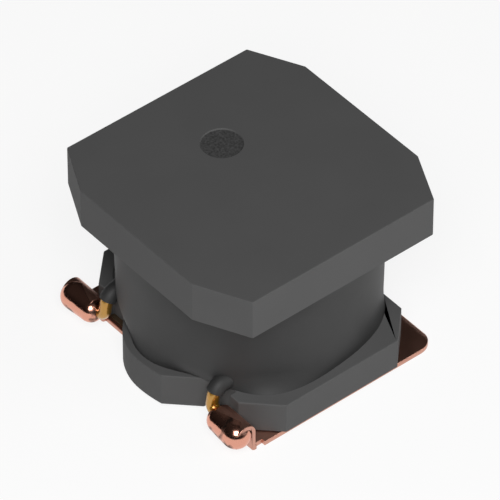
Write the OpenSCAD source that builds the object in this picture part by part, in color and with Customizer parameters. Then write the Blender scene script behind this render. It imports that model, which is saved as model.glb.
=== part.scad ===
// Shielded SMD power inductor: a ferrite drum core wound with enamelled copper wire,
// sealed between its flanges by a magnetic resin, on two stamped copper terminals.
// Millimetres, +Z up. The origin is on the board, under the axis of the core.

/* [Drum core] */
// Overall width of the core along X and along Y
core_w = 6.0; // [5.6:0.1:7]
// Thickness of the top flange
top_t = 1.0; // [0.7:0.05:1.4]
// Clear height of the winding window between the flanges
window_h = 2.47; // [1.9:0.01:3.5]
// Thickness of the base flange
base_t = 0.75; // [0.6:0.05:1.1]
// Diameter of the centre post
post_d = 2.8; // [2.4:0.1:3]
// Length of a top flange corner cut, measured along X
top_cut_x = 1.2; // [0.6:0.05:1.6]
// Length of a top flange corner cut, measured along Y
top_cut_y = 0.6; // [0.3:0.05:1]
// Depth of the base flange along Y, without its lobes
base_depth = 4.4; // [4.3:0.05:4.6]
// 45 degree corner cut of the base flange
base_cut = 0.7; // [0.4:0.05:0.9]
// Width of the flat root of each lobe, where it leaves the base flange
lobe_root_w = 2.66; // [2.4:0.02:2.9]
// Diameter of the round dimple that marks where the winding starts
mark_d = 0.9; // [0.5:0.05:1.2]
// Depth of the start mark
mark_depth = 0.03; // [0.01:0.01:0.1]
// Distance of the start mark from the core axis, towards the left terminal
mark_left = 1.07; // [0.7:0.01:1.6]
// Distance of the start mark from the core axis, towards the back
mark_back = 0.14; // [-0.5:0.02:0.5]

/* [Winding] */
// Diameter of the enamelled copper wire
wire_d = 0.28; // [0.2:0.01:0.3]
// Room left between neighbouring turns and layers
turn_gap = 0.01; // [0.005:0.005:0.04]
// Distance of each lead from the middle of the core, along X
lead_x = 1.76; // [1.6:0.02:1.8]
// Radius of the lead where it bends over the edge of the base flange
lead_bend_r = 0.28; // [0.2:0.01:0.3]
// Radius of the lead where it turns into the crimp
crimp_bend_r = 0.17; // [0.12:0.01:0.2]
// Width of the notch in the base flange under each lead
notch_w = 0.5; // [0.4:0.02:0.56]
// Depth of the notch in the base flange under each lead
notch_depth = 0.17; // [0.08:0.01:0.25]
// How far each lead leans outwards between the edge of the base and its crimp
lead_lean = 0.08; // [0.04:0.01:0.1]

/* [Resin shield] */
// Diameter of the resin wall at its waist
resin_waist_d = 5.56; // [5.3:0.02:5.7]
// How far the resin foot flows out over the base flange
foot_flare = 0.22; // [0.1:0.02:0.3]
// How far the resin flows out under the top flange
head_flare = 0.14; // [0.06:0.02:0.2]
// Radial room around a lead where it runs through resin or weld
lead_fit = 0.004; // [0.002:0.001:0.01]
// How much wider the radius of the wall is at its head than at its foot
wall_spread = 0.06; // [0:0.01:0.1]
// Width of base flange that stays bare around the resin foot
ledge_w = 0.16; // [0.08:0.02:0.22]
// Thickness of the resin skin that climbs onto each lead
sleeve_t = 0.045; // [0.02:0.005:0.08]
// Lean of the resin wall above the lobe shoulders, in degrees from the vertical
shoulder_lean = 38; // [25:1:50]

/* [Terminals] */
// Thickness of the copper strip
strip_t = 0.12; // [0.08:0.01:0.16]
// Thickness of the epoxy film between a terminal and the core
glue_t = 0.03; // [0.02:0.01:0.06]
// Margin of bare pad and base around the epoxy film
glue_margin = 0.06; // [0.02:0.01:0.1]
// Distance from the middle of the part to the outer edge of a pad
pad_outer = 2.91; // [2.8:0.01:2.98]
// Distance from the middle of the part to the inner edge of a pad
pad_inner = 1.25; // [0.8:0.05:1.5]
// Distance from the middle of the part to the back edge of a pad
pad_back = 2.64; // [2.2:0.02:2.9]
// Corner radius at the back of a pad, on its outer side
pad_corner_r = 0.4; // [0.1:0.05:0.6]
// Width of the coined bevel along the back edge of a pad
coin_w = 0.14; // [0.06:0.01:0.2]
// Drop of the coined bevel
coin_drop = 0.04; // [0.02:0.01:0.06]
// Width of the bend relief notched into the outer edge of a pad, beside its tab
relief_w = 0.09; // [0.05:0.01:0.15]
// Length of the bend relief
relief_len = 0.19; // [0.1:0.01:0.3]
// Straight run of a tab between its root bend and the bend relief
root_run = 0.03; // [0.02:0.01:0.08]

/* [Crimp and weld] */
// Length of the crimp tab along the lead
tab_len = 0.83; // [0.6:0.01:0.9]
// Distance from the outer edge of a pad in to the outer end of its crimp tab
tab_inset = 0.03; // [0.01:0.01:0.06]
// Distance from the outer end of a crimp tab in to the cut end of the wire
wire_inset = 0.06; // [0.02:0.01:0.1]
// Gap between the side of the base flange and the crimp tab
tab_gap = 0.02; // [0.01:0.01:0.06]
// Height of the lead inside the crimp, above the board
crimp_h = 0.53; // [0.45:0.01:0.6]
// Height of the free end of the crimp tab above the board
tab_tip_h = 0.1; // [0.04:0.01:0.25]
// Radius of the weld bead at its outer, rounder end
bead_r = 0.32; // [0.29:0.01:0.34]
// Radius of the weld bead at its inner end
bead_neck_r = 0.28; // [0.26:0.01:0.3]
// How far the bead runs past the crimp tab on the inner side
bead_inner_run = 0.2; // [0.1:0.01:0.24]
// How far the bead runs past the crimp tab on the outer side
bead_outer_run = 0.09; // [0.04:0.01:0.1]
// How far the middle of the bead sags below the lead
bead_sag = 0.04; // [0:0.01:0.08]

/* [Hidden] */
$fn = 96;
eps = 0.01;

// Heights, from the board upwards
base_z = strip_t + glue_t;
ledge_z = base_z + base_t;
window_top = ledge_z + window_h;
core_top = window_top + top_t;

half_w = core_w / 2;
half_depth = base_depth / 2;
wire_r = wire_d / 2;

// Winding: even steps along the turns, eight flats around the wire
turn_steps = 20;
wire_sides = 8;
turn_pitch = wire_d + turn_gap;
chord = cos(180 / turn_steps);
inner_r = (post_d / 2 + turn_gap + wire_r) / chord;
outer_r = inner_r + turn_pitch / chord;
start_z = ledge_z + wire_r + turn_gap;
inner_turns = floor((window_h - wire_d - 2 * turn_gap) / turn_pitch);
outer_turns = inner_turns - 1;
bore_r = outer_r + wire_r + turn_gap;

// Crimp: the strip folds once around the lead, just off the side of the base flange
crimp_r = wire_r + strip_t;
crimp_y = -(half_depth + tab_gap + crimp_r);
root_y = crimp_y + crimp_r;
tab_outer = pad_outer - tab_inset;
tab_inner = tab_outer - tab_len;
lead_end = tab_outer - wire_inset;
lead_drop_y = crimp_y + lead_lean;

// Bead: a drop of molten copper along the crimp, flush with the back of its upright
bead_inner = tab_inner - bead_inner_run;
bead_outer = tab_outer + bead_outer_run;
bead_y = root_y - bead_r - eps;
bead_z = crimp_h - bead_sag;

waist_r = resin_waist_d / 2;

function unit(v) = v / norm(v);

// Eight-sided outline of the base flange, pulled in by inset on every side
function base_octagon(inset) =
    let (x = half_w - inset, y = half_depth - inset, c = base_cut - inset * (2 - sqrt(2)))
    [[x, y - c], [x - c, y], [c - x, y], [-x, y - c], [-x, c - y], [c - x, -y], [x - c, -y], [x, c - y]];

// Lobe with 45 degree shoulders that reaches out along -Y, pulled in by inset
function lobe_outline(inset) =
    let (y = half_depth - inset, w = lobe_root_w / 2 + inset - inset * sqrt(2), tip = w + y - half_w)
    [[w, 0], [w, -y], [tip, -half_w], [-tip, -half_w], [-w, -y], [-w, 0]];

// Base flange outline raised from z0 by h: the octagon and a round-ended lobe front and back
module base_block(inset, z0, h) {
    translate([0, 0, z0]) linear_extrude(h) polygon(base_octagon(inset));
    for (side = [0, 1]) mirror([0, side, 0]) intersection() {
        translate([0, 0, z0]) linear_extrude(h) polygon(lobe_outline(inset));
        translate([0, 0, z0]) cylinder(h = h, r = half_w - inset);
    }
}

module top_flange() {
    x = half_w;
    y = half_w;
    cx = top_cut_x;
    cy = top_cut_y;
    translate([0, 0, window_top]) linear_extrude(top_t) polygon([
        [x, y - cy], [x - cx, y], [cx - x, y], [-x, y - cy],
        [-x, cy - y], [cx - x, -y], [x - cx, -y], [x, cy - y]]);
}

// One sintered piece: top flange, centre post and lobed base flange with its lead notches
module drum_core() {
    color("#565656") difference() {
        union() {
            top_flange();
            translate([0, 0, ledge_z - eps]) cylinder(h = window_h + 2 * eps, d = post_d);
            base_block(0, base_z, base_t);
        }
        for (side = [-1, 1])
            translate([side * lead_x - notch_w / 2, -half_depth - eps, base_z - eps])
                cube([notch_w, notch_depth + eps, base_t + 2 * eps]);
        translate([-mark_left, mark_back, core_top - mark_depth])
            cylinder(h = mark_depth + eps, d = mark_d);
    }
}

// Round the corner of a path at p, between a and b, with an arc of radius r
function corner_arc(a, p, b, r, steps = 5) =
    let (u = unit(a - p), v = unit(b - p), half = acos(u * v) / 2, mid = unit(u + v),
        centre = p + mid * r / sin(half), from = p + u * r / tan(half) - centre,
        to = p + v * r / tan(half) - centre, sweep = 180 - 2 * half)
    [for (i = [0 : steps]) let (t = i / steps)
        centre + from * sin((1 - t) * sweep) / sin(sweep) + to * sin(t * sweep) / sin(sweep)];

// Centre line of a lead, from its cut end in the crimp to the point where it meets the winding.
// The right lead (side 1) starts the inner layer, and the left one (side -1) ends the outer layer.
function lead_path(side) =
    let (tip = [lead_end, crimp_y, crimp_h], turn = [lead_x, crimp_y, crimp_h],
        over = [lead_x, lead_drop_y, start_z],
        join = side > 0 ? [inner_r, 0, start_z] : [outer_r, 0, start_z + turn_pitch],
        path = concat([tip], corner_arc(tip, turn, over, crimp_bend_r),
            corner_arc(turn, over, join, lead_bend_r), [join]))
    [for (p = path) [side * p[0], p[1], p[2]]];

function backwards(path) = [for (i = [len(path) - 1 : -1 : 0]) path[i]];

// The inner layer climbs, half a turn steps outwards at the top, the outer layer descends
function winding_point(t) =
    t <= inner_turns ? turn_point(t, inner_r, start_z + t * turn_pitch)
    : t <= inner_turns + 0.5
        ? turn_point(t, inner_r + (outer_r - inner_r) * 2 * (t - inner_turns), start_z + inner_turns * turn_pitch)
        : turn_point(t, outer_r, start_z + (inner_turns - (t - inner_turns - 0.5)) * turn_pitch);
function turn_point(t, r, z) = [r * cos(360 * t), r * sin(360 * t), z];

function winding_path() =
    let (turns = inner_turns + 0.5 + outer_turns, last = turns * turn_steps)
    concat(lead_path(1), [for (i = [1 : last - 1]) winding_point(i / turn_steps)], backwards(lead_path(-1)));

// Directions along a path, one for each point
function headings(path) = [for (i = [0 : len(path) - 1])
    unit(path[min(i + 1, len(path) - 1)] - path[max(i - 1, 0)])];

// Carry a side direction along the path without twist
function carried(dirs, i = 0, side = [0, 0, 1]) = i >= len(dirs) ? [] :
    let (flat = unit(side - dirs[i] * (side * dirs[i]))) concat([flat], carried(dirs, i + 1, flat));

// Round wire of radius r along a path
module swept_wire(path, r) {
    dirs = headings(path);
    sides = carried(dirs);
    n = wire_sides;
    last = len(path) - 1;
    points = [for (i = [0 : last]) let (a = sides[i], b = cross(dirs[i], a))
        for (k = [0 : n - 1]) path[i] + r * (a * cos(360 * k / n) + b * sin(360 * k / n))];
    walls = [for (i = [0 : last - 1], k = [0 : n - 1]) let (m = (k + 1) % n)
        [i * n + k, (i + 1) * n + k, (i + 1) * n + m, i * n + m]];
    start_cap = [for (k = [0 : n - 1]) k];
    end_cap = [for (k = [n - 1 : -1 : 0]) last * n + k];
    polyhedron(points, concat(walls, [start_cap, end_cap]));
}

// The whole coil and both leads are one length of wire
module winding() {
    color("#b5812d") swept_wire(winding_path(), wire_r);
}

// Room that a lead needs, with the flats of the sweep kept outside the wire
module lead_room(side) {
    swept_wire(lead_path(side), (wire_r + lead_fit) / cos(180 / wire_sides));
}

// Everything further out than dist in the direction az, beyond a plane that leans outwards
module leaning_cut(az, dist) {
    rotate([0, 0, az]) translate([dist, 0, ledge_z]) rotate([0, shoulder_lean, 0])
        translate([0, -core_w, -core_w]) cube([core_w, 2 * core_w, 3 * core_w]);
}

// Wall of revolution between the flanges: a hollow foot and head with a plain waist
module shield_wall() {
    foot_r = waist_r + foot_flare;
    head_r = waist_r + wall_spread + head_flare;
    rotate_extrude() difference() {
        polygon([
            [bore_r, ledge_z], [foot_r, ledge_z], [foot_r, ledge_z + foot_flare],
            [waist_r, ledge_z + foot_flare], [waist_r + wall_spread, window_top - head_flare],
            [head_r, window_top - head_flare], [head_r, window_top], [bore_r, window_top]]);
        translate([foot_r, ledge_z + foot_flare]) circle(r = foot_flare);
        translate([head_r, window_top - head_flare]) circle(r = head_flare);
    }
}

// Resin that climbs onto a lead and follows it over the edge of the base
module sleeve(side) {
    path = lead_path(side);
    last = len(path) - 2;
    root = path[last] + 0.2 * (path[last + 1] - path[last]);
    covered = concat([for (i = [last - 3 : last]) path[i]], [root]);
    swept_wire(covered, (wire_r + sleeve_t) / cos(180 / wire_sides));
}

// Magnetic resin that fills the window around the winding and grips both leads
module resin_shield() {
    shoulder = (lobe_root_w / 2 + half_depth) / sqrt(2) - ledge_w;
    color("#3a3a3a") difference() {
        union() {
            difference() {
                shield_wall();
                for (az = [0 : 90 : 270]) leaning_cut(az, half_w - ledge_w);
                for (az = [45 : 90 : 315]) intersection() {
                    leaning_cut(az, shoulder);
                    leaning_cut(az < 180 ? 90 : 270, half_depth - ledge_w);
                }
            }
            for (side = [-1, 1]) sleeve(side);
        }
        for (side = [-1, 1]) lead_room(side);
        base_block(0, base_z, base_t);
        translate([0, 0, ledge_z - eps]) cylinder(h = window_h + 2 * eps, r = bore_r);
    }
}

// Stamped strip seen from the end of the part: straight root, root bend, upright,
// fold over the lead and free leg
module tab_profile() {
    translate([root_y, 0]) square([root_run, strip_t]);
    intersection() {
        translate([root_y, strip_t]) circle(r = strip_t);
        translate([root_y - strip_t, 0]) square(strip_t);
    }
    translate([root_y - strip_t, strip_t]) square([strip_t, crimp_h - strip_t]);
    translate([crimp_y, crimp_h]) intersection() {
        difference() {
            circle(r = crimp_r);
            circle(r = wire_r);
        }
        translate([-crimp_r, 0]) square([2 * crimp_r, crimp_r]);
    }
    translate([crimp_y - crimp_r, tab_tip_h]) square([strip_t, crimp_h - tab_tip_h]);
}

module crimp_tab() {
    translate([tab_inner, 0, 0]) rotate([90, 0, 90]) linear_extrude(tab_len) tab_profile();
}

// Outline of a pad: its root is notched beside the tab, and its outer back corner is round
module pad_outline() {
    relief_end = root_y + root_run + relief_len;
    translate([pad_inner, root_y]) square([pad_outer - relief_w - pad_inner, pad_back - root_y]);
    difference() {
        translate([pad_inner, relief_end]) square([pad_outer - pad_inner, pad_back - relief_end]);
        translate([pad_outer - pad_corner_r, pad_back - pad_corner_r]) difference() {
            square(pad_corner_r + eps);
            circle(r = pad_corner_r);
        }
    }
}

// Flat pad under the base, with a coined bevel along its back edge
module pad() {
    difference() {
        linear_extrude(strip_t) pad_outline();
        translate([pad_inner - eps, pad_back - coin_w, strip_t]) rotate([-atan(coin_drop / coin_w), 0, 0])
            cube([pad_outer - pad_inner + 2 * eps, 2 * coin_w, strip_t]);
    }
}

// One piece of bent copper strip: solder pad, root bend and crimp tab
module terminal() {
    color("#b98672") union() {
        pad();
        crimp_tab();
    }
}
module terminal_right() { terminal(); }
module terminal_left() { mirror([1, 0, 0]) terminal(); }

// Melted end of the crimp tab and the lead, set as a drop that is rounder at its outer end
module weld_bead(side) {
    neck_x = bead_inner + bead_neck_r;
    ball_x = bead_outer - bead_r;
    slope = asin((bead_r - bead_neck_r) / (ball_x - neck_x));
    color("#c58e78") difference() {
        mirror([side < 0 ? 1 : 0, 0, 0]) translate([0, bead_y, bead_z]) rotate([0, 90, 0]) {
            translate([0, 0, neck_x]) sphere(r = bead_neck_r);
            translate([0, 0, ball_x]) sphere(r = bead_r);
            translate([0, 0, neck_x - bead_neck_r * sin(slope)]) cylinder(
                h = ball_x - neck_x - (bead_r - bead_neck_r) * sin(slope),
                r1 = bead_neck_r * cos(slope), r2 = bead_r * cos(slope));
        }
        mirror([side < 0 ? 1 : 0, 0, 0]) crimp_tab();
        lead_room(side);
    }
}
module weld_bead_right() { weld_bead(1); }
module weld_bead_left() { weld_bead(-1); }

// Cured epoxy film that bonds a pad to the underside of the base
module adhesive(side) {
    color("#4a3b2a") mirror([side < 0 ? 1 : 0, 0, 0]) intersection() {
        translate([0, 0, strip_t]) linear_extrude(glue_t) polygon(base_octagon(glue_margin));
        translate([pad_inner + glue_margin, -half_w, strip_t])
            cube([pad_outer - pad_inner - 2 * glue_margin, core_w, glue_t]);
    }
}
module adhesive_right() { adhesive(1); }
module adhesive_left() { adhesive(-1); }

drum_core();
winding();
resin_shield();
terminal_left();
terminal_right();
weld_bead_left();
weld_bead_right();
adhesive_left();
adhesive_right();
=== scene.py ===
# %% [markdown]
# # A shielded surface-mount inductor, 6 mm square
#
# The real part is a spool of grey ferrite. Enamelled copper wire is wound on the spool, and a dark
# resin filled with ferrite powder closes the winding in. Both ends of the wire come out low on one
# side, bend over the edge of the base and end in copper tabs that a laser has melted into beads.
#
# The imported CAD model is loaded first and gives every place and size. Each visible piece is then
# made again as a finer surface in the same place, and the hidden glue films are kept as they are.

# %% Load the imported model
import math

import bpy
import numpy as np
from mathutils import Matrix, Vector


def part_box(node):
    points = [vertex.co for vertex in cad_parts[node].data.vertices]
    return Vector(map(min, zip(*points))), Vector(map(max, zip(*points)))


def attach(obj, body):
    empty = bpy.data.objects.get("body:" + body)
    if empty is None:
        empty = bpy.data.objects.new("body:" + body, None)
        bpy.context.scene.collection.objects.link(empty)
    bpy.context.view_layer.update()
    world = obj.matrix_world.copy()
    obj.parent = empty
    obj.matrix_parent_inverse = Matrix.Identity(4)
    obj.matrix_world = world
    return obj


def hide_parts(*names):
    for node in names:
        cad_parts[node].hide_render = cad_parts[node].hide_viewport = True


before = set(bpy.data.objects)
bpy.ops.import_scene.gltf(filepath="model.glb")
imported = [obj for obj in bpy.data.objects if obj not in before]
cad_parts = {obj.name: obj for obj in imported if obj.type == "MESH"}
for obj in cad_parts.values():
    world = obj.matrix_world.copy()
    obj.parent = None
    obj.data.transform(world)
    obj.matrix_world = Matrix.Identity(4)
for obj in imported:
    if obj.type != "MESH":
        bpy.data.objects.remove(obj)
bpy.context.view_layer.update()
MM = 0.001  # one millimetre in metres: every size below is in millimetres
print("CAD nodes:", ", ".join(sorted(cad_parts)))

# %% [markdown]
# ## Sizes
#
# The core's width, underside and top come from the box of its CAD node. Other places and sizes, such as the
# wire's diameter, are stated in millimetres.

# %% Read the sizes from the CAD boxes


def box_mm(name):
    """Lowest and highest corner of a CAD node, in millimetres."""
    low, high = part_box(name)
    return np.array(low) / MM, np.array(high) / MM


core_low, core_high = box_mm("drum_core")
half_w = core_high[0]  # half the width of the core
base_z = core_low[2]  # underside of the base flange
core_top = core_high[2]  # top of the part
top_t, base_t = 1.0, 0.75  # thickness of the two flanges
ledge_z = base_z + base_t
window_top = core_top - top_t
half_depth = 2.2  # half the depth of the base flange, without its lobes
land_z = 0.08  # underside of the middle of the base, between the pads
print(f"core {2 * half_w:.2f} mm wide, base at {base_z:.2f}, ledge at {ledge_z:.2f}, top at {core_top:.2f}")

# %% [markdown]
# ## Putting numpy arrays into a mesh
#
# A surface is worked out as a grid of points, one row for each step along it and one column for
# each step around it. The faces are the grid's own cells, so they are whole arrays too. Flat ends
# that are wider than a strip of cells are closed by one face with many corners.

# %% Helpers for grids and meshes


def grid_faces(rows, cols, ring=False):
    """Four-cornered faces of a grid of rows by cols points. Columns always join up around the grid,
    and with ring the last row joins the first as well."""
    i = np.arange(rows if ring else rows - 1)[:, None]
    j = np.arange(cols)[None, :]
    here, above, k = i * cols, (i + 1) % rows * cols, (j + 1) % cols
    return np.stack([here + j, here + k, above + k, above + j], -1).reshape(-1, 4)


def lofted(rings):
    """Solid with closed ends from rings of points, shaped (rows, columns, 3), each ring running
    counter-clockwise when the next one lies above it."""
    rows, cols = rings.shape[:2]
    ends = [np.arange(cols)[::-1], np.arange(cols) + (rows - 1) * cols]
    return rings.reshape(-1, 3), grid_faces(rows, cols), ends


def mirrored(part):
    """The same part on the other side: x changes sign, and each face runs the other way round."""
    points, quads, caps = part
    return points * (-1, 1, 1), quads[:, ::-1], [c[::-1] for c in caps]


def make_piece(name, parts, smooth_angle=35.0, grit=None):
    """One mesh object from parts, each (points in mm, quads, list of many-cornered faces)."""
    points, sizes, corners, start = [], [], [], 0
    for pts, quads, caps in parts:
        points.append(pts)
        sizes += [np.full(len(quads), 4)] + [np.array([len(c)]) for c in caps]
        corners += [quads.ravel() + start] + [c + start for c in caps]
        start += len(pts)
    points, sizes, corners = (np.concatenate(x) for x in (points, sizes, corners))
    mesh = bpy.data.meshes.new(name)
    mesh.vertices.add(len(points))
    mesh.vertices.foreach_set("co", (points * MM).astype(np.float32).ravel())
    mesh.loops.add(len(corners))
    mesh.loops.foreach_set("vertex_index", corners.astype(np.int32))
    mesh.polygons.add(len(sizes))
    mesh.polygons.foreach_set("loop_start", (np.cumsum(sizes) - sizes).astype(np.int32))
    mesh.update(calc_edges=True)
    mesh.polygons.foreach_set("use_smooth", np.ones(len(sizes), bool))
    mesh.set_sharp_from_angle(angle=math.radians(smooth_angle))
    if grit is not None:
        grit_data = mesh.attributes.new("grit", "FLOAT", "POINT").data
        grit_data.foreach_set("value", grit.astype(np.float32))
    mesh.validate()
    piece = bpy.data.objects.new(name, mesh)
    bpy.context.scene.collection.objects.link(piece)
    print(f"{name}: {len(points)} points, {len(sizes)} faces")
    return piece


def hand_over(piece, slot, *nodes):
    """Put the finished piece on the root body and hide the CAD nodes that it stands for. The slot, its
    finish, is not used.
    """
    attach(piece, "root")
    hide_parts(*nodes)


# %% [markdown]
# ## Outlines with rounded corners
#
# Pressed and stamped parts have no knife edges. An outline is given by its corner points, and each
# corner is replaced by a small arc that touches both sides. Every point keeps the direction in which
# the outline shrinks, so that the same outline can be drawn a little smaller for a rounded edge.

# %% Rounded outlines and slabs
ARC = 4  # steps of the arc at each corner


def rounded_outline(corners, radius, per_side=0):
    """Points and outward directions of a closed outline, counter-clockwise, with an arc of that
    radius at each corner: centre + radius * direction, turning from one side's normal to the next.
    Each straight side gets per_side more points, evenly spaced."""
    p = np.asarray(corners, float)
    before, after = p - np.roll(p, 1, 0), np.roll(p, -1, 0) - p
    a = before / np.linalg.norm(before, axis=1, keepdims=True)
    b = after / np.linalg.norm(after, axis=1, keepdims=True)
    turn = np.arctan2(a[:, 0] * b[:, 1] - a[:, 1] * b[:, 0], (a * b).sum(1))
    r = radius * np.sign(turn)
    normal = np.stack([a[:, 1], -a[:, 0]], 1)
    centre = p - a * (r * np.tan(turn / 2))[:, None] - normal * r[:, None]
    angle = turn[:, None] * np.linspace(0, 1, ARC + 1)
    c, s = np.cos(angle), np.sin(angle)
    out = np.stack([normal[:, :1] * c - normal[:, 1:] * s, normal[:, :1] * s + normal[:, 1:] * c], -1)
    points = centre[:, None, :] + out * r[:, None, None]
    share = np.linspace(0, 1, per_side + 2)[1:-1, None]
    start, end = points[:, -1:], np.roll(points[:, :1], -1, 0)
    points = np.concatenate([points, start * (1 - share) + end * share], 1)
    out = np.concatenate([out, np.repeat(out[:, -1:], per_side, 1)], 1)
    return points.reshape(-1, 2), out.reshape(-1, 2)


def edge_profile(low, high, lower, upper, steps=3):
    """(inset, height) from the bottom face to the top face of a slab. Each rim is a quarter round of
    its own radius, with a strip on both sides of it that keeps the flat faces flat; 0 is sharp."""
    t = np.linspace(0, np.pi / 2, steps + 1)
    bottom, top = [[0, low]], [[0, high]]
    if lower:
        rim = np.stack([lower * (1 - np.sin(t)), low + lower * (1 - np.cos(t))], 1)
        bottom = [[2 * lower, low], *rim, [0, low + 2 * lower]]
    if upper:
        rim = np.stack([upper * (1 - np.cos(t)), high - upper * (1 - np.sin(t))], 1)
        top = [[0, high - 2 * upper], *rim, [2 * upper, high]]
    return np.array([*bottom, *top], float)


def slab_rings(corners, low, high, lower, upper, per_side=0):
    """Rings of a flat piece between two heights: its outline, pulled in and raised by each step of
    the edge profile. Corners get twice the edge's radius, so that an arc never turns inside out."""
    points, out = rounded_outline(corners, 2 * max(lower, upper), per_side)
    profile = edge_profile(low, high, lower, upper)
    flat = points - out * profile[:, None, :1]
    return np.concatenate([flat, np.broadcast_to(profile[:, None, 1:], (*flat.shape[:2], 1))], -1)


# %% [markdown]
# ## The drum core
#
# The core is pressed from ferrite powder and sintered, so it is one hard, matt grey body: a top
# flange with four cut corners, a round post, and a base flange with a rounded lobe front and back.
# The middle of the base reaches a little lower, between the pads, and two notches let the wire ends
# pass. A shallow round dimple in the top marks the side where the winding starts. The flanges and
# the post are slabs with slightly broken edges, and the top face is a grid of rings from the
# flange's outline to the rim of the dimple and down into it.

# %% Build the ferrite drum core
EDGE = 0.02  # radius of the broken edges of the ferrite
mark_centre, mark_r, mark_depth = np.array([-1.07, 0.14]), 0.45, 0.03
notch_in, notch_out, notch_y = 1.51, 2.01, -2.03
lobe_x, lobe_round, land_x = 1.40, 1.5, 1.30
base_cut, post_r, sink = 0.7, 1.4, 0.1

top_corners = [(half_w, 2.4), (1.8, half_w), (-1.8, half_w), (-half_w, 2.4),
               (-half_w, -2.4), (-1.8, -half_w), (1.8, -half_w), (half_w, -2.4)]


def lobe_curve(steps=12):
    """Round end of the front lobe, left to right. A small arc of radius r touches the left shoulder
    and, from inside, the core's circle of radius R, which runs on to the right shoulder. The
    shoulders lie s from the axis, so the small arc's centre is u = s - r towards the left one and
    sqrt((R - r)^2 - u^2) along it."""
    s = (lobe_x + half_depth) / math.sqrt(2)
    u = s - lobe_round
    v = math.sqrt((half_w - lobe_round) ** 2 - u**2)
    centre = np.array([v - u, -v - u]) / math.sqrt(2)
    meet = math.atan2(centre[0], -centre[1])
    small = np.linspace(-np.pi / 4, meet, steps)[:-1]
    large = np.linspace(meet, np.pi / 4 - math.acos(s / half_w), steps)
    return np.concatenate([
        centre + lobe_round * np.stack([np.sin(small), -np.cos(small)], 1),
        half_w * np.stack([np.sin(large), -np.cos(large)], 1)])


right_front = [(lobe_x, -half_depth), (notch_in, -half_depth), (notch_in, notch_y), (notch_out, notch_y),
               (notch_out, -half_depth), (half_w - base_cut, -half_depth), (half_w, base_cut - half_depth)]
left_front = [(-x, y) for x, y in right_front[::-1]]
right_back = [(half_w, half_depth - base_cut), (half_w - base_cut, half_depth), (lobe_x, half_depth)]
left_back = [(-x, y) for x, y in right_back[::-1]]
front = lobe_curve()
base_corners = np.concatenate([left_front, front, right_front, right_back, -front, left_back])
land_y = lobe_x + half_depth - land_x  # where the shoulders cross the sides of the lower middle
land_corners = np.concatenate([
    [(-land_x, -land_y)], front, [(land_x, -land_y), (land_x, land_y)], -front, [(-land_x, land_y)]])

PER_SIDE = 6  # points along each side of the top flange, so that the dimple comes out round
CORNER_GRIT = 0.35  # how coarse the gritty corner is, where the dimple is 1
flange = slab_rings(top_corners, window_top, core_top, EDGE, EDGE, PER_SIDE)
cols = flange.shape[1]

# Dimple: (distance from its centre, height) of the rings that end the top face
bevel = mark_depth / 3
dimple = np.array([(mark_r + 0.1, 0), (mark_r + bevel, 0), (mark_r, -bevel), (mark_r - bevel, -mark_depth),
                   (mark_r - 0.1, -mark_depth), (0.15, -mark_depth), (0.02, -mark_depth)])
away = flange[-1, :, :2] - mark_centre
away /= np.linalg.norm(away, axis=1, keepdims=True)
dimple_rings = np.concatenate([
    mark_centre + away * dimple[:, None, :1],
    np.broadcast_to(core_top + dimple[:, None, 1:], (len(dimple), cols, 1))], -1)
top_rings = np.concatenate([flange, dimple_rings])

# The dimple kept the coarse grain of the press, and one cut corner some of it
grit = np.zeros(top_rings.shape[:2])
grit[-4:] = 1
block = ARC + 1 + PER_SIDE
grit[4:9, 6 * block + ARC:7 * block + 1] = CORNER_GRIT

angle = np.linspace(0, 2 * np.pi, 72, endpoint=False)
circle = np.stack([np.cos(angle), np.sin(angle)], 1)
core_parts = [
    lofted(top_rings),
    lofted(slab_rings(post_r * circle, ledge_z - sink, window_top + sink, EDGE, EDGE)),
    lofted(slab_rings(base_corners, base_z, ledge_z, 0, EDGE)),
    lofted(slab_rings(land_corners, land_z, base_z, EDGE, 0))]
all_grit = np.concatenate([grit.ravel()] + [np.zeros(len(part[0])) for part in core_parts[1:]])
core = make_piece("ferrite_core", core_parts, 30, all_grit)
hand_over(core, "ferrite", "drum_core")

# %% [markdown]
# ## The wire
#
# Winding and leads are one length of round enamelled copper wire: seven turns up the post, half a
# turn outwards, six turns down over them, and an end on each side. A tube is carried along the
# path. Each ring stands square to the path, and its first direction is made square to one fixed
# direction that the wire never follows, so the tube doesn't twist.

# %% Path of the wire
wire_r, pitch, turns_up, turns_down = 0.14, 0.29, 7, 6
lead_x, lead_z, over_y, over_r, crimp_bend = 1.76, 1.05, -2.40, 0.28, 0.17
crimp_y, crimp_z, cut_x = -2.48, 0.53, 2.82
inner_r, outer_r = 1.569, 1.863


def bend(a, corner, b, radius, steps=16):
    """Arc that rounds a corner between a and b: weights sin((1-t)w)/sin w and sin(tw)/sin w turn one
    radius into the other, where w is the angle that the path turns through."""
    a, corner, b = (np.array(v, float) for v in (a, corner, b))
    u, v = (a - corner) / np.linalg.norm(a - corner), (b - corner) / np.linalg.norm(b - corner)
    half = np.arccos(u @ v) / 2
    centre = corner + (u + v) / np.linalg.norm(u + v) * radius / np.sin(half)
    start, end = (corner + w * radius / np.tan(half) - centre for w in (u, v))
    t, sweep = np.linspace(0, 1, steps + 1)[:, None], np.pi - 2 * half
    return centre + (start * np.sin((1 - t) * sweep) + end * np.sin(t * sweep)) / np.sin(sweep)


def lead(side):
    """Centre line of a lead from its cut end in the crimp to the winding, on that side."""
    tip, turn = (cut_x, crimp_y, crimp_z), (lead_x, crimp_y, crimp_z)
    over = (lead_x, over_y, lead_z)
    join = (inner_r, 0, lead_z) if side > 0 else (outer_r, 0, lead_z + pitch)
    bends = [bend(tip, turn, over, crimp_bend), bend(turn, over, join, over_r)]
    return np.concatenate([[tip], *bends, [join]]) * (side, 1, 1)


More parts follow.
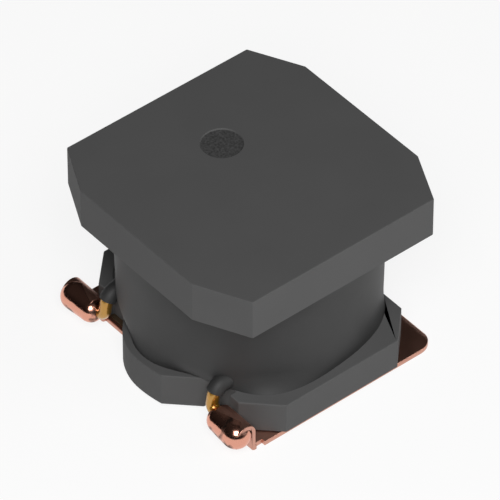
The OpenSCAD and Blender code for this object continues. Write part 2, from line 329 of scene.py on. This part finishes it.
def coil(steps=48):
    """Turns between the two leads: height rises with the turns, holds for the half turn in which the
    radius grows, and falls again."""
    t = np.arange(1, (turns_up + 0.5 + turns_down) * steps) / steps
    radius = inner_r + (outer_r - inner_r) * np.clip(2 * (t - turns_up), 0, 1)
    height = lead_z + pitch * np.minimum(np.minimum(t, turns_up), 2 * turns_up + 0.5 - t)
    return np.stack([radius * np.cos(2 * np.pi * t), radius * np.sin(2 * np.pi * t), height], 1)


def tube(path, radius, sides=20):
    """Rings around a path: point + radius * (side * cos + up * sin), with side = heading x (1, 1, 1)."""
    heading = np.gradient(path, axis=0)
    heading /= np.linalg.norm(heading, axis=1, keepdims=True)
    side = np.cross(heading, (1.0, 1.0, 1.0))
    side /= np.linalg.norm(side, axis=1, keepdims=True)
    up = np.cross(heading, side)
    t = np.linspace(0, 2 * np.pi, sides, endpoint=False)[:, None]
    around = side[:, None] * np.cos(t) + up[:, None] * np.sin(t)
    return path[:, None] + np.broadcast_to(radius, len(path))[:, None, None] * around


wire_path = np.concatenate([lead(1), coil(), lead(-1)[::-1]])
wire_length = np.linalg.norm(np.diff(wire_path, axis=0), axis=1).sum()
wire = make_piece("enamelled_wire", [lofted(tube(wire_path, wire_r))])
hand_over(wire, "enamelled_wire", "winding")
print(f"the wire is {wire_length:.0f} mm long")

# %% [markdown]
# ## The resin shield
#
# A paste of epoxy and ferrite powder is run round the winding and cured. It stands as a nearly round
# wall, but wets the base where there is room, so its foot swells into the corners of the base and
# is pinched beside the lobes. It also creeps out on each lead as a thin sleeve. The wall is a
# function of direction and height: a plain radius, plus a foot and a head that fade out quickly.

# %% Build the resin
foot_degrees = [0, 4, 11, 18, 25, 34, 44, 50.5, 56, 62, 71, 81,
                92, 102, 113, 122, 130, 136, 141, 150, 160, 170, 180]
foot_radius = [2.856, 2.858, 2.778, 2.668, 2.608, 2.68, 2.823, 2.939, 2.999, 3.004, 2.937, 2.838,
               2.765, 2.764, 2.798, 2.855, 2.858, 2.848, 2.78, 2.62, 2.68, 2.80, 2.856]
waist_r, spread, head_flare, bore_r = 2.78, 0.06, 0.14, 2.013
foot_h, head_h, overlap = 0.42, 0.30, 0.01


def resin_wall(rows=44, around=240):
    """Rings of the wall. Radius = waist + spread * height share + (foot - waist) * (1 - z/foot_h)^2
    + head * (1 - depth/head_h)^2 + two slow ripples a few hundredths of a millimetre high."""
    turn = np.linspace(0, 2 * np.pi, around, endpoint=False)
    from_front = np.degrees(np.abs((turn + np.pi) % (2 * np.pi) - np.pi))
    foot = np.interp(from_front, foot_degrees, foot_radius) - waist_r
    foot = sum(np.roll(foot, k) for k in range(-3, 4)) / 7
    share = (1 - np.cos(np.linspace(0, np.pi, rows)))[:, None] / 2
    height, depth = share * (window_top - ledge_z), (1 - share) * (window_top - ledge_z)
    radius = (waist_r + spread * share + foot * np.clip(1 - height / foot_h, 0, 1) ** 2
              + head_flare * np.clip(1 - depth / head_h, 0, 1) ** 2
              + 0.006 * np.sin(5 * turn + 2.1 * height) * np.sin(3 * turn - 1.3 * height))
    z = ledge_z - overlap + share * (window_top - ledge_z + 2 * overlap)
    return np.stack([radius * np.sin(turn), -radius * np.cos(turn), np.broadcast_to(z, radius.shape)], -1)


wall = resin_wall()
bore = wall[[-1, 0]].copy()
bore[..., :2] *= bore_r / np.linalg.norm(bore[..., :2], axis=-1, keepdims=True)
shell = np.concatenate([wall, bore])
resin_parts = [(shell.reshape(-1, 3), grid_faces(*shell.shape[:2], ring=True), [])]


def sleeve(side, steps=26):
    """Skin of resin on a lead, from inside the wall to part of the way down its bend. Its radius
    swells where it leaves the wall and closes onto the wire at its end."""
    path = lead(side)
    run = path[-2] + (path[-1] - path[-2]) * np.linspace(0.3, 0, 10)[:-1, None]
    path = np.concatenate([run, path[-2:-15:-1]])
    s = np.linspace(0, 1, len(path))
    radius = wire_r + 0.045 + 0.10 * np.exp(-5 * s) - 0.05 * np.clip((s - 0.94) / 0.06, 0, 1) ** 2
    return lofted(tube(path, radius, steps))


resin = make_piece("cast_resin", resin_parts + [sleeve(1), sleeve(-1)], 50)
hand_over(resin, "magnetic_resin", "resin_shield")

# %% [markdown]
# ## The terminals
#
# Each terminal is stamped and bent from copper strip 0.12 mm thick. A flat pad lies under the base
# and is soldered to the board. At its front end the strip is bent up and folded over the wire. The
# pad is a rounded rectangle whose width changes along its length, with a relief notch beside the tab
# and a bevel coined into its far end. The tab is its own side view, drawn out along the wire.

# %% Build the terminals
strip_t, root_y, root_run, STRIP_EDGE = 0.12, -2.22, 0.03, 0.012
pad_in, pad_out, pad_back, pad_corner = 1.45, 2.91, 2.64, 0.4
relief_w, relief_end, coin_w, coin_drop = 0.09, -2.0, 0.14, 0.04
tab_in, tab_out, tab_tip = 2.05, 2.88, 0.32


def pad():
    """Loft along the pad's length: at each y a rectangle from pad_in to the outer edge and from 0 to
    the thickness there, with small rounded corners. The outer edge is circle-shaped at the back."""
    e = STRIP_EDGE
    turn = pad_back - pad_corner
    y = np.concatenate([
        root_y + e * np.array([0, 0.13, 0.5, 1, 2]),
        relief_end + np.array([-0.1, -0.002, 0.002, 0.02, 0.1]),
        np.linspace(relief_end + 0.2, turn, 9)[:-1],
        turn + pad_corner * np.sin(np.linspace(0, 0.86 * np.pi / 2, 12)),
        pad_back - e * np.array([0.5, 0.13, 0])])
    inset = np.interp(y, [root_y, root_y + e, pad_back - e, pad_back], [e, 0, 0, e])
    outer = np.where(y < relief_end, pad_out - relief_w,
                     pad_out - pad_corner + np.sqrt(pad_corner**2 - np.clip(y - turn, 0, pad_corner) ** 2))
    top = strip_t - coin_drop * np.clip((y - pad_back + coin_w) / coin_w, 0, 1)
    square = np.array([(0, 0), (1, 0), (1, 1), (0, 1)])
    _, out = rounded_outline(square, 0.1)
    corner = np.repeat(square, ARC + 1, 0)
    offset = e * (out - (2 * corner - 1)) - inset[:, None, None] * (2 * corner - 1)
    x = np.where(corner[:, 0], outer[:, None], pad_in) + offset[..., 0]
    z = np.where(corner[:, 1], top[:, None], 0) + offset[..., 1]
    return lofted(np.stack([x, np.broadcast_to(y[:, None], x.shape), z], -1)[::-1])


def fold(radius, start, end, steps=16):
    """Arc of the folded strip round the wire, as (y, z) points."""
    t = np.radians(np.linspace(start, end, steps + 1))
    return np.stack([crimp_y + radius * np.cos(t), crimp_z + radius * np.sin(t)], 1)


def tab():
    """Side view of the strip, counter-clockwise with y to the right and z up, drawn out along x."""
    t = np.radians(np.linspace(180, 262, 7))
    root = np.stack([root_y + strip_t * np.cos(t), strip_t + strip_t * np.sin(t)], 1)
    sunk = 0.002  # the root lies just inside the pad
    side_view = np.concatenate([
        [(root_y + root_run, sunk), (root_y + root_run, strip_t - sunk), (root_y, strip_t)],
        fold(wire_r + strip_t, 0, 180),
        [(crimp_y - wire_r - strip_t, tab_tip), (crimp_y - wire_r, tab_tip)],
        fold(wire_r + sunk, 180, 0), root])
    rings = slab_rings(side_view, tab_in, tab_out, STRIP_EDGE, STRIP_EDGE)
    return lofted(rings[..., [2, 0, 1]])


terminal_right = make_piece("copper_terminal_right", [pad(), tab()], 40)
terminal_left = make_piece("copper_terminal_left", [mirrored(pad()), mirrored(tab())], 40)
hand_over(terminal_right, "terminal_copper", "terminal_right")
hand_over(terminal_left, "terminal_copper", "terminal_left")

# %% [markdown]
# ## The weld beads
#
# A laser melts the end of each tab together with the wire. Surface tension pulls the melt into a
# smooth drop that lies along the wire and freezes there. The drop is a body of revolution about a
# line beside the wire, rounder at its outer end, with a slow swelling that no two welds share.

# %% Build the weld beads


def bead(inner_x, outer_x, y, z, neck_r, ball_r, swell, phase):
    """Drop along x: radius = neck to ball radius along its length, closed by a quarter circle at each
    end, times 1 + swell * cos(angle - phase) * sin(pi * share of the length)."""
    rows, sides = 25, 56
    t = np.linspace(0.03, np.pi / 2, rows)
    start = np.stack([inner_x + neck_r * (1 - np.cos(t)), neck_r * np.sin(t)], 1)
    end = np.stack([outer_x - ball_r * (1 - np.cos(t)), ball_r * np.sin(t)], 1)[::-1]
    between = start[-1] + (end[0] - start[-1]) * np.linspace(0, 1, 10)[1:-1, None]
    x, r = np.concatenate([start, between, end]).T
    around = np.linspace(0, 2 * np.pi, sides, endpoint=False)
    share = (x - inner_x) / (outer_x - inner_x)
    r = r[:, None] * (1 + swell * np.sin(np.pi * share)[:, None] * np.cos(around - phase))
    along = np.broadcast_to(x[:, None], r.shape)
    return lofted(np.stack([along, y + r * np.cos(around), z + r * np.sin(around)], -1))


bead_in, bead_out, bead_y, bead_z, neck_r, ball_r = 1.85, 2.97, -2.55, 0.49, 0.28, 0.32
SWELL, PHASE = 0.02, 4.0  # share by which a drop swells, and the angle where it swells most
drop_right = bead(bead_in, bead_out, bead_y, bead_z, neck_r, ball_r, SWELL, PHASE)
drop_left = mirrored(bead(bead_in, bead_out, bead_y, bead_z, neck_r, ball_r, -SWELL, PHASE))
bead_right = make_piece("copper_bead_right", [drop_right], 60)
bead_left = make_piece("copper_bead_left", [drop_left], 60)
hand_over(bead_right, "weld_copper", "weld_bead_right")
hand_over(bead_left, "weld_copper", "weld_bead_left")

# %% [markdown]
# ## Materials
#
# Each finish starts from what the real one is. Colours are written as sRGB hex values and turned
# into Blender's linear values by one function. Every pattern reads Object coordinates, and its
# scale is one over its real size in metres.

# %% Helpers for materials


def linear(code):
    """sRGB hex to linear RGBA: a channel c becomes ((c + 0.055) / 1.055) ** 2.4, or c / 12.92 if dark."""
    c = np.array([int(code[k:k + 2], 16) for k in (1, 3, 5)]) / 255
    return (*np.where(c > 0.04045, ((c + 0.055) / 1.055) ** 2.4, c / 12.92), 1.0)


def new_material(name):
    """A material with its node tree and the shader that all its nodes end in."""
    material = bpy.data.materials.new(name)
    material.use_nodes = True
    return material, material.node_tree, material.node_tree.nodes["Principled BSDF"]


def add_node(tree, kind, settings=None, **inputs):
    """Add a node, set its properties, and fill its inputs with values or with other nodes' outputs.
    An underscore in an input's name stands for a space, and i0, i1, ... are inputs by number."""
    node = tree.nodes.new(kind)
    for key, value in (settings or {}).items():
        setattr(node, key, value)
    for key, value in inputs.items():
        numbered = key[0] == "i" and key[1:].isdigit()
        socket = node.inputs[int(key[1:]) if numbered else key.replace("_", " ")]
        if isinstance(value, bpy.types.NodeSocket):
            tree.links.new(value, socket)
        else:
            socket.default_value = value
    return node


# %% [markdown]
# ### Sintered nickel-zinc ferrite
#
# A fired ceramic with fine grains: matt, mid grey and even. In the dimple the punch left it coarse
# and darker, with specks of about 0.05 mm, and on the gritty corner only the relief shows. The
# point attribute "grit" says how coarse each place is.

# %% Ferrite
GRAIN, CLOUD = 0.055 * MM, 1.5 * MM  # size of a grain and of the slow drift in shade
ferrite, tree, shader = new_material("sintered_ferrite")
place = add_node(tree, "ShaderNodeTexCoord").outputs["Object"]
grains = add_node(tree, "ShaderNodeTexNoise", Vector=place, Scale=1 / GRAIN, Detail=3.0, Roughness=0.6)
cloud = add_node(tree, "ShaderNodeTexNoise", Vector=place, Scale=1 / CLOUD, Detail=2.0)
coarse = add_node(tree, "ShaderNodeAttribute", {"attribute_name": "grit"}).outputs["Fac"]
speck = add_node(tree, "ShaderNodeValToRGB", Fac=grains.outputs["Fac"])
dark, light = speck.color_ramp.elements
dark.position, light.position = 0.36, 0.66
dark.color, light.color = linear("#373737"), linear("#535353")
plain = add_node(tree, "ShaderNodeMix", {"data_type": "RGBA"}, Factor=cloud.outputs["Fac"],
                 i6=linear("#575757"), i7=linear("#5d5d5d"))
pressed = add_node(tree, "ShaderNodeMapRange", Value=coarse, From_Min=0.4)
colour = add_node(tree, "ShaderNodeMix", {"data_type": "RGBA"}, Factor=pressed.outputs["Result"],
                  i6=plain.outputs[2], i7=speck.outputs["Color"])
tree.links.new(colour.outputs[2], shader.inputs["Base Color"])
depth = add_node(tree, "ShaderNodeMath", {"operation": "MULTIPLY_ADD"}, i0=coarse, i1=0.35, i2=0.02)
relief = add_node(tree, "ShaderNodeBump", Height=grains.outputs["Fac"], Distance=0.01 * MM,
                  Strength=depth.outputs[0])
tree.links.new(relief.outputs["Normal"], shader.inputs["Normal"])
shader.inputs["Roughness"].default_value = 0.7
shader.inputs["IOR"].default_value = 1.5
core.data.materials.append(ferrite)
print("sintered_ferrite: grains of", round(GRAIN / MM, 3), "mm")

# %% [markdown]
# ### Epoxy filled with ferrite powder
#
# The filler settles unevenly while the paste cures, so the dark resin is mottled in soft patches
# of about 0.7 mm. The cured surface is matt, with a faint skin of much finer ripples.

# %% Resin
PATCH, RIPPLE = 0.7 * MM, 0.12 * MM
resin_mat, tree, shader = new_material("cast_ferrite_epoxy")
place = add_node(tree, "ShaderNodeTexCoord").outputs["Object"]
patches = add_node(tree, "ShaderNodeTexNoise", Vector=place, Scale=1 / PATCH, Detail=4.0, Roughness=0.55)
mottle = add_node(tree, "ShaderNodeMix", {"data_type": "RGBA"}, Factor=patches.outputs["Fac"],
                  i6=linear("#2c2c2c"), i7=linear("#383838"))
tree.links.new(mottle.outputs[2], shader.inputs["Base Color"])
ripples = add_node(tree, "ShaderNodeTexNoise", Vector=place, Scale=1 / RIPPLE, Detail=3.0)
skin = add_node(tree, "ShaderNodeBump", Height=ripples.outputs["Fac"], Distance=0.01 * MM, Strength=0.12)
tree.links.new(skin.outputs["Normal"], shader.inputs["Normal"])
shader.inputs["Roughness"].default_value = 0.6
shader.inputs["IOR"].default_value = 1.5
resin.data.materials.append(resin_mat)
print("cast_ferrite_epoxy: patches of", round(PATCH / MM, 2), "mm")

# %% [markdown]
# ### Enamelled copper wire
#
# Bright copper under a clear amber varnish: the metal gives the golden body, and the varnish is a
# thin smooth coat that adds its own sharp highlight.

# %% Enamel
enamel, tree, shader = new_material("amber_wire_enamel")
shader.inputs["Base Color"].default_value = linear("#bd8a30")
shader.inputs["Metallic"].default_value = 0.75
shader.inputs["Roughness"].default_value = 0.28
shader.inputs["Coat Weight"].default_value = 1.0
shader.inputs["Coat Roughness"].default_value = 0.08
wire.data.materials.append(enamel)
print("amber_wire_enamel: metal under a clear coat")

# %% [markdown]
# ### Rolled copper strip
#
# Bare copper straight from the rolling mill: satin, pinkish, with fine lines along the strip. The lines are
# noise that is drawn out twelve times along Y, the way the strip was rolled. A slow second noise shifts the
# colour between brown and pink and varies how dull the metal is.

# %% Copper strip
LINE, TONE_PATCH, DRAWN_OUT = 0.02 * MM, 0.5 * MM, 12
strip, tree, shader = new_material("rolled_copper_strip")
place = add_node(tree, "ShaderNodeTexCoord").outputs["Object"]
rolled = add_node(tree, "ShaderNodeMapping", Vector=place, Scale=(1, 1 / DRAWN_OUT, 1))
lines = add_node(tree, "ShaderNodeTexNoise", Vector=rolled.outputs["Vector"], Scale=1 / LINE, Detail=2.0)
tone_noise = add_node(tree, "ShaderNodeTexNoise", Vector=place, Scale=1 / TONE_PATCH, Detail=3.0)
# the colour shifts between brown and pink in slow patches of this noise
tint = add_node(tree, "ShaderNodeMix", {"data_type": "RGBA"}, Factor=tone_noise.outputs["Fac"],
                i6=linear("#b98674"), i7=linear("#dba794"))
tree.links.new(tint.outputs[2], shader.inputs["Base Color"])
dull = add_node(tree, "ShaderNodeMapRange", Value=tone_noise.outputs["Fac"], To_Min=0.28, To_Max=0.46)
tree.links.new(dull.outputs["Result"], shader.inputs["Roughness"])
scratch = add_node(tree, "ShaderNodeBump", Height=lines.outputs["Fac"], Distance=0.001 * MM, Strength=0.4)
tree.links.new(scratch.outputs["Normal"], shader.inputs["Normal"])
shader.inputs["Metallic"].default_value = 1.0
for piece in (terminal_left, terminal_right):
    piece.data.materials.append(strip)
print("rolled_copper_strip: lines", round(LINE / MM, 3), "mm wide along Y")

# %% [markdown]
# ### Copper frozen from the melt
#
# The weld freezes in a blink, so its skin is smooth and bright, with shallow dents of about 0.2 mm that
# bend the reflections. Dull dark patches are painted into its colour as painted reflections of dark
# surroundings.

# %% Weld copper
DENT, DARK_REFLECTION_PATCH = 0.22 * MM, 0.3 * MM
weld, tree, shader = new_material("frozen_copper_melt")
place = add_node(tree, "ShaderNodeTexCoord").outputs["Object"]
# painted reflection: dark patches from this noise stand in for dark surroundings mirrored in the bead
scale = add_node(tree, "ShaderNodeTexNoise", Vector=place, Scale=1 / DARK_REFLECTION_PATCH, Detail=3.0, Roughness=0.5)
painted_dark_reflection = add_node(tree, "ShaderNodeMapRange", Value=scale.outputs["Fac"], From_Min=0.54, From_Max=0.66)
skin_tint = add_node(tree, "ShaderNodeMix", {"data_type": "RGBA"}, Factor=painted_dark_reflection.outputs["Result"],
                     i6=linear("#e0a08a"), i7=linear("#5f4a42"))
tree.links.new(skin_tint.outputs[2], shader.inputs["Base Color"])
dull = add_node(tree, "ShaderNodeMapRange", Value=painted_dark_reflection.outputs["Result"], To_Min=0.17, To_Max=0.42)
tree.links.new(dull.outputs["Result"], shader.inputs["Roughness"])
dents = add_node(tree, "ShaderNodeTexNoise", Vector=place, Scale=1 / DENT, Detail=1.0)
skin = add_node(tree, "ShaderNodeBump", Height=dents.outputs["Fac"], Distance=0.02 * MM, Strength=0.5)
tree.links.new(skin.outputs["Normal"], shader.inputs["Normal"])
shader.inputs["Metallic"].default_value = 1.0
for piece in (bead_left, bead_right):
    piece.data.materials.append(weld)
print("frozen_copper_melt: dents of", round(DENT / MM, 2), "mm")

# %% [markdown]
# ### Cured epoxy film
#
# The glue between pads and base is a thin, brown, half-glossy film. Its CAD solids are shown as
# they are, with this finish.

# %% Epoxy film
film, tree, shader = new_material("cured_epoxy_film")
shader.inputs["Base Color"].default_value = linear("#4a3b2a")
shader.inputs["Roughness"].default_value = 0.5
for name in ("adhesive_left", "adhesive_right"):
    node_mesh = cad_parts[name].data
    node_mesh.materials.clear()
    node_mesh.materials.append(film)
print("cured_epoxy_film: on both glue films")

# %% [markdown]
# ## Floor
#
# The part lies on white paper. Towards the part the paper is plain matt white and throws light up
# on it. Towards the camera, and in mirror-like reflections, it glows enough to come out nearly
# white while it keeps the part's soft shadow. The Light Path node tells the two kinds of ray apart.

# %% White paper
REACH, UNDER = 2.0, 0.002 * MM  # half the width of the paper, and its distance under the part
floor_mesh = bpy.data.meshes.new("floor")
MATT = 0.6  # how much light the paper throws back towards the part
SEEN_MATT, GLOW = 0.15, 0.86  # how much it throws back towards the camera, and how strongly it glows
corners = [(-REACH, -REACH, -UNDER), (REACH, -REACH, -UNDER),
           (REACH, REACH, -UNDER), (-REACH, REACH, -UNDER)]
floor_mesh.from_pydata(corners, [], [(0, 1, 2, 3)])
floor = bpy.data.objects.new("floor", floor_mesh)
bpy.context.scene.collection.objects.link(floor)
paper, tree, shader = new_material("white_paper")
shader.inputs["Roughness"].default_value = 1.0
rays = add_node(tree, "ShaderNodeLightPath").outputs
seen = add_node(tree, "ShaderNodeMath", {"operation": "MAXIMUM"},
                i0=rays["Is Camera Ray"], i1=rays["Is Glossy Ray"])
seen = add_node(tree, "ShaderNodeMath", {"operation": "MAXIMUM"},
                i0=seen.outputs[0], i1=rays["Is Transmission Ray"])
matt = add_node(tree, "ShaderNodeMath", {"operation": "MULTIPLY_ADD"}, i0=seen.outputs[0],
                i1=SEEN_MATT - MATT, i2=MATT)
glow = add_node(tree, "ShaderNodeMath", {"operation": "MULTIPLY"}, i0=seen.outputs[0], i1=GLOW)
tree.links.new(matt.outputs[0], shader.inputs["Base Color"])
tree.links.new(glow.outputs[0], shader.inputs["Emission Strength"])
shader.inputs["Emission Color"].default_value = (1, 1, 1, 1)
floor_mesh.materials.append(paper)
print("white_paper:", 2 * REACH, "m wide")

# %% [markdown]
# ## Light
#
# A large soft lamp on the camera's side, a little higher than the camera looks from, and a weaker
# one from the right give nearly all the light. The sky keeps the new world's own dark grey colour,
# so it is only a faint glow, weakest at the horizon.

# %% Sky and lamps
SKY, HORIZON = 0.55, 0.15  # strength overhead, and the horizon's share of it
world = bpy.data.worlds.new("studio")
bpy.context.scene.world = world
world.use_nodes = True
tree = world.node_tree
direction = add_node(tree, "ShaderNodeTexCoord").outputs["Generated"]
height = add_node(tree, "ShaderNodeSeparateXYZ", Vector=direction).outputs["Z"]
sky = add_node(tree, "ShaderNodeMapRange", Value=height, From_Max=0.8, To_Min=HORIZON * SKY, To_Max=SKY)
tree.links.new(sky.outputs["Result"], tree.nodes["Background"].inputs["Strength"])


def lamp(name, azimuth, elevation, distance, size, watts):
    """Square area lamp that looks at the part, placed by its direction in degrees and distance in mm."""
    a, e = math.radians(azimuth), math.radians(elevation)
    data = bpy.data.lights.new(name, "AREA")
    data.size, data.energy = size * MM, watts
    lit = bpy.data.objects.new(name, data)
    back = Vector((math.sin(a) * math.cos(e), -math.cos(a) * math.cos(e), math.sin(e)))
    lit.location = back * distance * MM + Vector((0, 0, core_top / 2 * MM))
    lit.rotation_mode = "QUATERNION"
    lit.rotation_quaternion = back.to_track_quat("Z", "Y")
    bpy.context.scene.collection.objects.link(lit)
    print(f"{name}: {size} mm square, {distance} mm away, {watts} W")


lamp("front_softbox", 50, 48, 90, 45, 0.05789)
lamp("right_softbox", 125, 25, 90, 40, 0.01633)


# %% [markdown]
# ## Camera
#
# A long lens looks down on the corner between the front and the right side. Its place is given as
# a direction from the point that it aims at, as for the lamps.

# %% Camera
CAMERA_AZIMUTH, CAMERA_ELEVATION, CAMERA_DISTANCE = 50.4019, 43.3137, 131.856
aim = Vector((-1.9029, 1.5824, -0.126)) * MM
a, e = math.radians(CAMERA_AZIMUTH), math.radians(CAMERA_ELEVATION)
back = Vector((math.sin(a) * math.cos(e), -math.cos(a) * math.cos(e), math.sin(e)))
camera_data = bpy.data.cameras.new("camera")
camera_data.sensor_width, camera_data.lens = 36.0, 446.4
camera_data.clip_start, camera_data.clip_end = 0.01, 10.0
camera = bpy.data.objects.new("camera", camera_data)
camera.location = aim + back * CAMERA_DISTANCE * MM
camera.rotation_euler = (math.pi / 2 - e, 0, a)
bpy.context.scene.collection.objects.link(camera)
bpy.context.scene.camera = camera
bpy.context.scene.view_settings.view_transform = "Standard"
print(f"camera {CAMERA_DISTANCE:.0f} mm away, {CAMERA_ELEVATION:.0f} degrees up")
